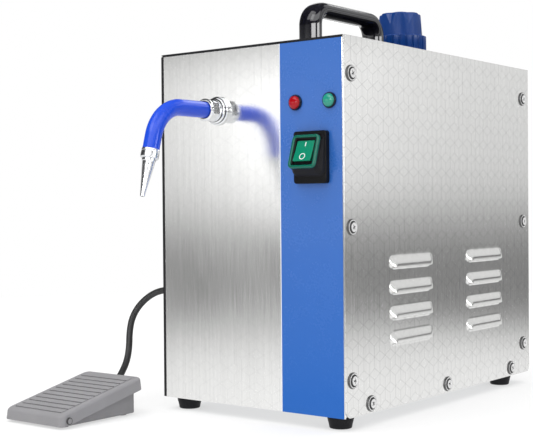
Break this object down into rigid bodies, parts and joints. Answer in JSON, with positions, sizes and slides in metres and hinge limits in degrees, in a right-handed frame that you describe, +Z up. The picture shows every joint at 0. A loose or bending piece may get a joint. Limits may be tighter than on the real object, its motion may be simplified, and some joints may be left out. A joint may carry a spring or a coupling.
{
  "type": "jewelry steam cleaner",
  "caption": "Bench-top steam cleaner for jewelry: a tall steel box with a bent steam nozzle, rocker switch, lamps, carry handle, screw filler cap and a foot pedal on a cord.",
  "frame": {"origin": "on the surface it stands on, under the middle of the machine and its pedal together", "axes": "+X to the right of the machine seen from its front, +Y towards its back, +Z up"},
  "size_m": [0.3098, 0.568, 0.4263],
  "materials": {
    "brushed_stainless": "fine vertical brushing with a faint hexagon line pattern, satin",
    "galvanised_steel": "plain zinc-coated sheet",
    "blue_paint": "smooth royal blue paint, semi-gloss",
    "black_paint": "fine powder coat, satin black",
    "bright_fixings": "nickel plated, lightly brushed",
    "black_rubber": "moulded matt black rubber",
    "silicone": "translucent white silicone",
    "black_gloss": "moulded black plastic, polished",
    "black_plastic": "moulded black plastic, fine grain",
    "cap_blue": "dark blue moulded plastic, polished",
    "hose_blue": "bright blue silicone sleeve, glossy",
    "chrome_plate": "bright chrome",
    "red_lens": "translucent red, lit from behind",
    "green_lens": "translucent green",
    "switch_green": "green moulded frame, glossy",
    "rocker_green": "translucent lit green with white marks I and O",
    "brass": "machined brass",
    "boiler_steel": "welded stainless, pickled",
    "fibre_wrap": "needled glass-fibre felt",
    "spring_steel": "drawn wire and ground steel",
    "pedal_grey": "grey moulded plastic, fine grain",
    "pedal_dark": "dark grey moulded plastic",
    "cord_black": "black cable sheath",
    "red_grip": "steel lever with a red dipped grip"
  },
  "bodies": {
    "root": {"base_pan": "galvanised_steel", "blue_stripe": "blue_paint", "boiler_stand": "galvanised_steel", "boiler_tank": "boiler_steel", "carry_handle": "black_gloss", "chassis_screws": "bright_fixings", "cord_gland": "black_plastic", "drain_pipe": "boiler_steel", "drain_valve_body": "brass", "filler_neck": "brass", "front_panel": "brushed_stainless", "green_lamp_lens": "green_lens", "heater_element": "boiler_steel", "heater_flange": "boiler_steel", "heater_relay": "black_plastic", "inlet_pins": "brass", "insulation_jacket": "fibre_wrap", "lamp_bezels": "chrome_plate", "left_side_panel": "brushed_stainless", "nozzle_union": "chrome_plate", "panel_nuts": "brass", "pedal_axle": "spring_steel", "pedal_base": "pedal_dark", "pedal_cord": "cord_black", "pedal_microswitch": "black_plastic", "pedal_pads": "black_rubber", "pedal_spring": "spring_steel", "power_inlet": "black_plastic", "pressure_switch": "black_plastic", "rear_panel": "brushed_stainless", "red_lamp_lens": "red_lens", "right_side_panel": "brushed_stainless", "rubber_feet": "black_rubber", "safety_valve_body": "brass", "safety_valve_spring": "spring_steel", "side_screws": "bright_fixings", "side_washers": "bright_fixings", "solenoid_body": "brass", "solenoid_coil": "black_plastic", "steam_pipe": "boiler_steel", "strain_relief": "black_rubber", "switch_bezel": "switch_green", "switch_body": "black_plastic", "switch_housing": "black_gloss", "terminal_block": "black_plastic", "top_panel": "black_paint"},
    "nozzle_arm": {"nozzle_pipe": "boiler_steel", "nozzle_hose": "hose_blue", "nozzle_collar": "chrome_plate", "nozzle_tip": "chrome_plate"},
    "cap_seal": {"cap_plug": "brass", "cap_gasket": "silicone"},
    "cap_knob": {"cap_knob": "cap_blue"},
    "rocker": {"switch_rocker": "rocker_green"},
    "drain_handle": {"drain_lever": "red_grip", "drain_ball": "bright_fixings"},
    "solenoid_plunger": {"solenoid_plunger": "spring_steel"},
    "safety_poppet": {"safety_valve_poppet": "spring_steel"},
    "treadle": {"pedal_plate": "pedal_grey"},
    "switch_plunger": {"pedal_switch_plunger": "red_grip"}
  },
  "joints": [
    {"name": "nozzle_swivel", "type": "hinge", "parent": "root", "child": "nozzle_arm", "pos_m": [0.0007, -0.14, 0.3005], "axis": [0, -1, 0], "range_deg": [-45, 45]},
    {"name": "cap_lift", "type": "slide", "parent": "root", "child": "cap_seal", "axis": [0, 0, 1], "range_m": [0, 0.0091]},
    {"name": "cap_turn", "type": "hinge", "parent": "cap_seal", "child": "cap_knob", "pos_m": [0.0374, 0.142, 0.362], "axis": [0, 0, 1], "range_deg": [0, 1080]},
    {"name": "rocker_tip", "type": "hinge", "parent": "root", "child": "rocker", "pos_m": [0.11515, -0.15029, 0.25505], "axis": [1, 0, 0], "range_deg": [0, 14]},
    {"name": "drain_turn", "type": "hinge", "parent": "root", "child": "drain_handle", "pos_m": [0.0374, 0.255, 0.098], "axis": [0, 0, -1], "range_deg": [0, 90]},
    {"name": "solenoid_lift", "type": "slide", "parent": "root", "child": "solenoid_plunger", "axis": [0, 0, 1], "range_m": [0, 0.003], "stiffness_N_per_m": 200, "springref_m": -0.002},
    {"name": "safety_lift", "type": "slide", "parent": "root", "child": "safety_poppet", "axis": [0, 0, 1], "range_m": [0, 0.002], "stiffness_N_per_m": 3000, "springref_m": -0.003, "deforming": ["safety_valve_spring"]},
    {"name": "pedal_press", "type": "hinge", "parent": "root", "child": "treadle", "pos_m": [-0.1126, -0.274, 0.007], "axis": [-1, 0, 0], "range_deg": [0, 5], "stiffness_Nm_per_rad": 6, "springref_deg": -3.44, "deforming": ["pedal_spring"]},
    {"name": "microswitch_press", "type": "slide", "parent": "root", "child": "switch_plunger", "axis": [0, 0, -1], "range_m": [0, 0.00176]}
  ],
  "couplings": [
    {"joint": "cap_lift", "follows": "cap_turn", "m_per_rad": 0.00047746},
    {"joint": "microswitch_press", "follows": "pedal_press", "m_per_rad": 0.0199}
  ]
}
